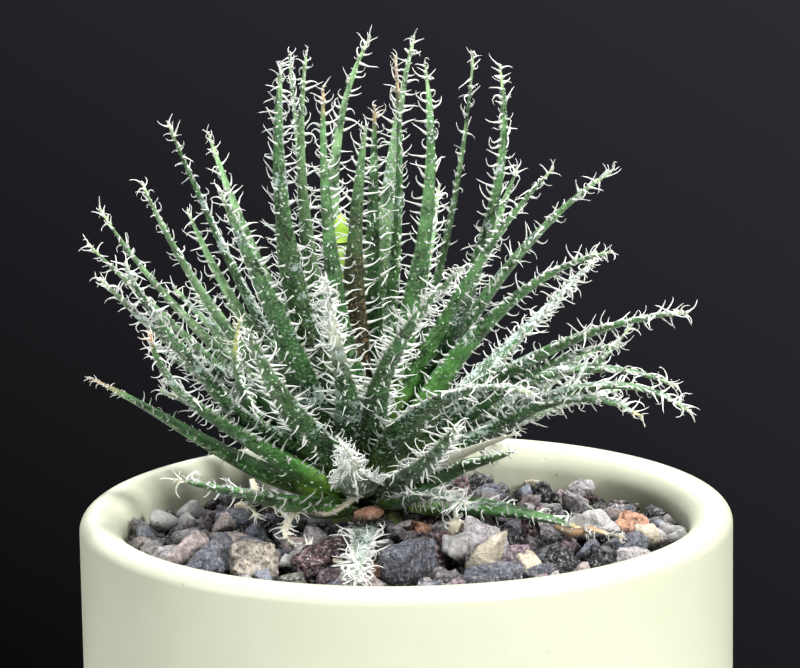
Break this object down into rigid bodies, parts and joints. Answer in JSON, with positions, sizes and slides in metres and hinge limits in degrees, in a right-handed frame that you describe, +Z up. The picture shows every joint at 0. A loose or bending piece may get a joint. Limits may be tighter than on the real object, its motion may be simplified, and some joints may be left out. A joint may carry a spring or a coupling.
{
  "type": "potted hairy dwarf aloe",
  "caption": "Small potted succulent: a rosette of narrow hairy-edged leaves in volcanic gravel, in a round pale glazed pot with a rounded lip and a drain hole.",
  "frame": {"origin": "on the pot's axis, at the level of its foot", "axes": "+Z up along the pot's axis; -Y faces the viewer, +X is the viewer's right"},
  "size_m": [0.08, 0.08, 0.1286],
  "materials": {
    "pot_glaze": "satin",
    "soil": "matte",
    "gravel": "matte",
    "dark_stone": "matte",
    "tan_stone": "matte",
    "stem": "matte",
    "bud": "satin",
    "dried_leaf": "matte",
    "leaf": "satin"
  },
  "bodies": {
    "root": {"pot": "pot_glaze", "potting_soil": "soil", "gravel_bed": "gravel", "stone_dark_block": "dark_stone", "stone_tan_round": "tan_stone", "stem_and_root": "stem", "flower_bud": "bud", "dried_leaf": "dried_leaf", "leaf_01": "leaf", "leaf_02": "leaf", "leaf_03": "leaf", "leaf_04": "leaf", "leaf_05": "leaf", "leaf_06": "leaf", "leaf_07": "leaf", "leaf_08": "leaf", "leaf_09": "leaf", "leaf_10": "leaf", "leaf_11": "leaf", "leaf_12": "leaf", "leaf_13": "leaf", "leaf_14": "leaf", "leaf_15": "leaf", "leaf_16": "leaf", "leaf_17": "leaf", "leaf_18": "leaf", "leaf_19": "leaf", "leaf_20": "leaf", "leaf_21": "leaf", "leaf_22": "leaf", "leaf_23": "leaf", "leaf_24": "leaf", "leaf_25": "leaf", "leaf_26": "leaf", "leaf_27": "leaf", "leaf_28": "leaf", "leaf_29": "leaf", "leaf_30": "leaf", "leaf_31": "leaf", "leaf_32": "leaf", "leaf_33": "leaf", "leaf_34": "leaf", "leaf_35": "leaf", "leaf_36": "leaf", "leaf_37": "leaf", "leaf_38": "leaf", "leaf_39": "leaf", "leaf_40": "leaf", "leaf_41": "leaf", "leaf_42": "leaf", "leaf_43": "leaf", "leaf_44": "leaf", "leaf_45": "leaf", "leaf_46": "leaf", "leaf_47": "leaf", "leaf_48": "leaf", "leaf_49": "leaf", "leaf_50": "leaf", "leaf_51": "leaf", "leaf_52": "leaf"}
  },
  "joints": []
}
